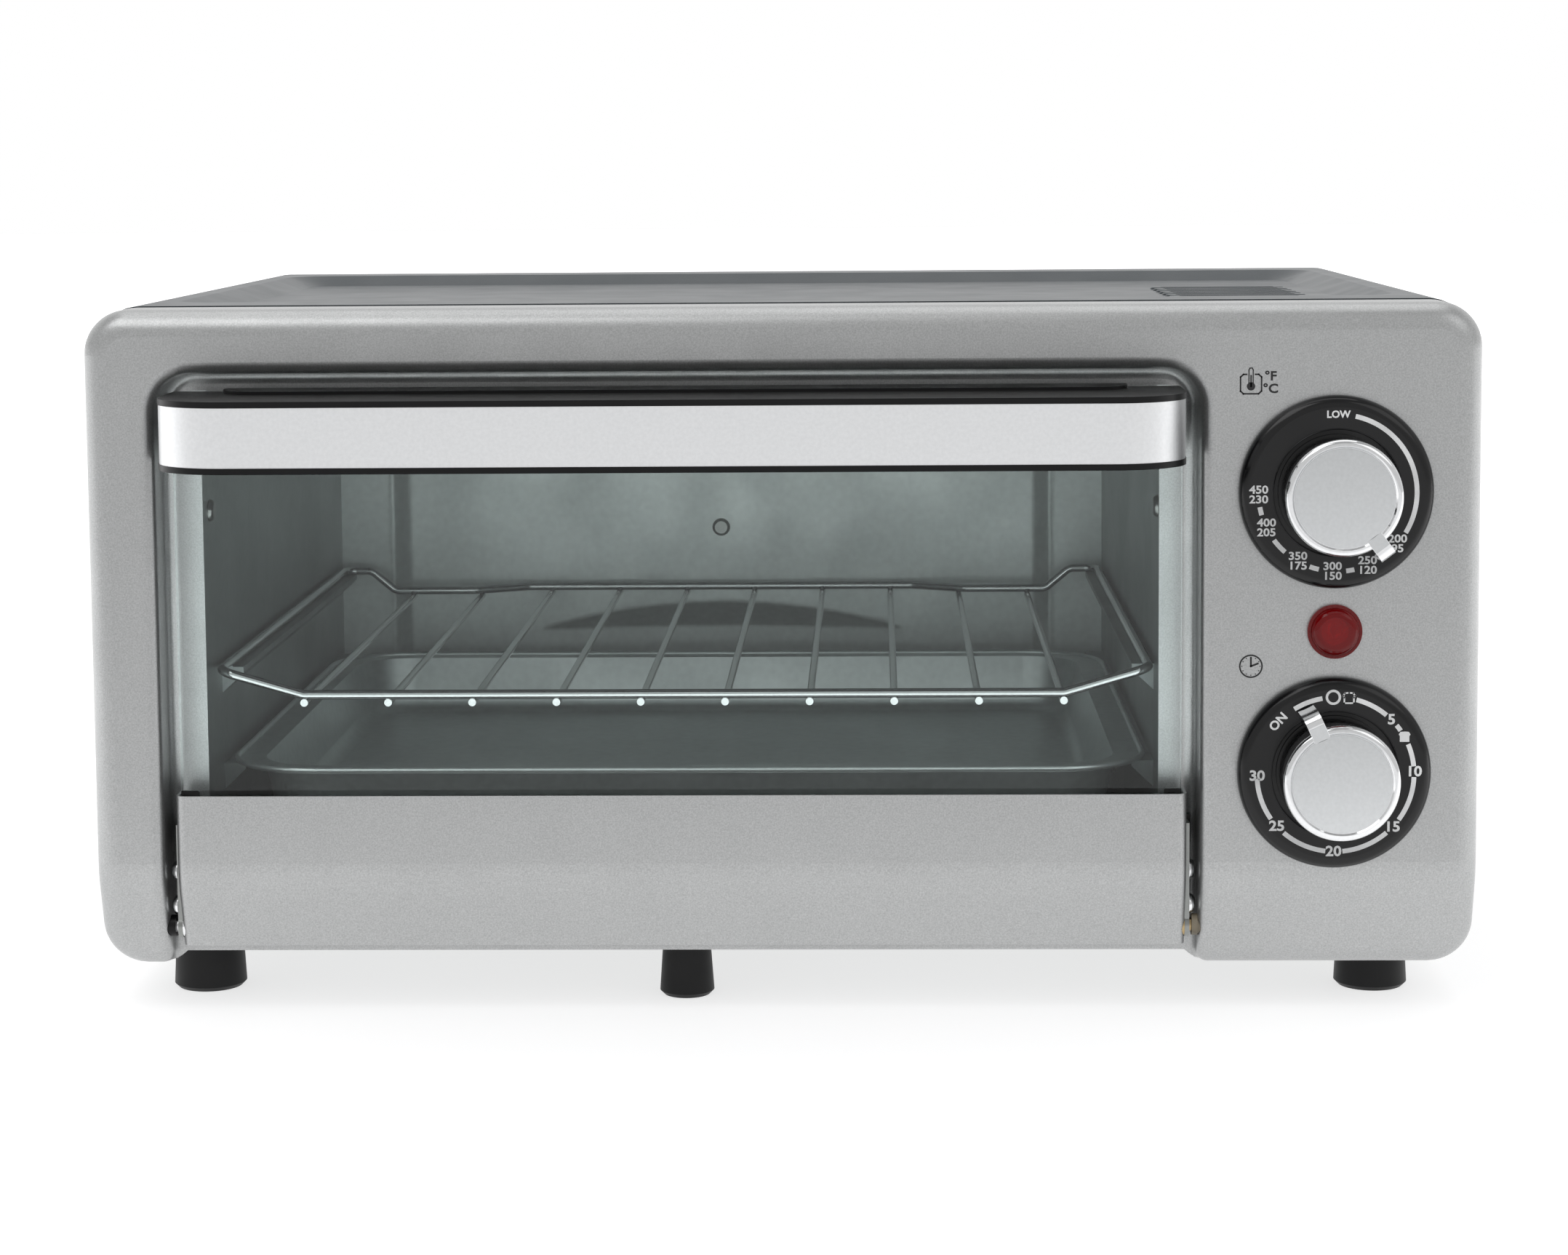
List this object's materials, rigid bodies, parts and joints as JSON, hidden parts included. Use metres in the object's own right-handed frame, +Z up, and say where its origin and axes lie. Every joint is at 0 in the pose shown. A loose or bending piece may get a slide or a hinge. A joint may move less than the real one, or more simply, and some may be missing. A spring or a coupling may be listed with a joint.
{
  "type": "toaster oven",
  "caption": "Countertop toaster oven with a drop-down glass door, bar handle, rotary thermostat and timer, wire rack, baking pan and a rear crumb tray.",
  "frame": {"origin": "centre of the overall bounding box, on the plane under the feet", "axes": "+Z up, -Y out of the front with the door, +X to the controls' side"},
  "size_m": [0.37, 0.302, 0.1913],
  "materials": {
    "silver_panel": "satin silver paint",
    "grey_cover": "satin grey paint",
    "plated_sheet": "plain plated sheet",
    "bright_metal": "bright plated",
    "brass": "plain",
    "strip_metal": "satin",
    "black_plastic": "moulded black",
    "pale_plastic": "moulded",
    "foot_rubber": "moulded black",
    "silver_plastic": "silver plated plastic",
    "element_sheath": "sheathed rod",
    "ceramic": "glazed ceramic",
    "clear_glass": "clear",
    "red_lens": "red translucent"
  },
  "bodies": {
    "oven": {"front_panel": "silver_panel", "outer_cover": "grey_cover", "rear_panel": "plated_sheet", "bottom_plate": "plated_sheet", "cavity_left_wall": "plated_sheet", "cavity_right_wall": "plated_sheet", "cavity_ceiling": "plated_sheet", "wall_rivets": "bright_metal", "rear_spacer": "bright_metal", "cover_screws": "bright_metal", "left_hinge_bush": "black_plastic", "right_hinge_bush": "pale_plastic", "front_left_foot": "foot_rubber", "front_right_foot": "foot_rubber", "rear_left_foot": "foot_rubber", "rear_right_foot": "foot_rubber", "front_center_foot": "foot_rubber", "foot_screws": "bright_metal", "upper_front_element": "element_sheath", "upper_rear_element": "element_sheath", "lower_front_element": "element_sheath", "lower_rear_element": "element_sheath", "element_insulators": "ceramic", "thermostat_dial": "black_plastic", "timer_dial": "black_plastic", "thermostat_body": "black_plastic", "timer_body": "black_plastic", "timer_bell": "bright_metal", "control_screws": "bright_metal", "pilot_lens": "red_lens", "pilot_lamp": "clear_glass", "wiring": "foot_rubber", "cord_gland": "black_plastic", "left_door_spring": "bright_metal", "right_door_spring": "bright_metal"},
    "door": {"door_panel": "silver_panel", "door_inner_panel": "plated_sheet", "door_glass": "clear_glass", "handle_body": "black_plastic", "handle_strip": "strip_metal", "handle_screws": "bright_metal", "left_hinge_leaf": "bright_metal", "right_hinge_leaf": "bright_metal", "left_hinge_pin": "bright_metal", "right_hinge_pin": "brass", "door_rivets": "bright_metal"},
    "thermostat_control": {"thermostat_knob": "silver_plastic", "thermostat_shaft": "bright_metal"},
    "timer_control": {"timer_knob": "silver_plastic", "timer_shaft": "bright_metal"},
    "rack": {"wire_rack": "bright_metal"},
    "pan": {"baking_pan": "plated_sheet"},
    "tray": {"crumb_tray": "plated_sheet"}
  },
  "joints": [
    {"name": "door_hinge", "type": "hinge", "parent": "oven", "child": "door", "pos_m": [-0.0275, -0.1045, 0.024], "axis": [1, 0, 0], "range_deg": [0, 76], "stiffness_Nm_per_rad": 0.25, "springref_deg": -20.05},
    {"name": "thermostat_turn", "type": "hinge", "parent": "oven", "child": "thermostat_control", "pos_m": [0.146, -0.113, 0.1415], "axis": [0, 1, 0], "range_deg": [-143, 127]},
    {"name": "timer_turn", "type": "hinge", "parent": "oven", "child": "timer_control", "pos_m": [0.146, -0.113, 0.067], "axis": [0, 1, 0], "range_deg": [-32, 294]},
    {"name": "rack_slide", "type": "slide", "parent": "oven", "child": "rack", "axis": [0, -1, 0], "range_m": [0, 0.067]},
    {"name": "pan_slide", "type": "slide", "parent": "oven", "child": "pan", "axis": [0, -1, 0], "range_m": [0, 0.04]},
    {"name": "crumb_tray_slide", "type": "slide", "parent": "oven", "child": "tray", "axis": [0, 1, 0], "range_m": [0, 0.2]}
  ],
  "couplings": [
    {"joint": "rack_slide", "follows": "door_hinge", "m_per_rad": 0.05},
    {"joint": "pan_slide", "follows": "door_hinge", "m_per_rad": 0.03}
  ]
}
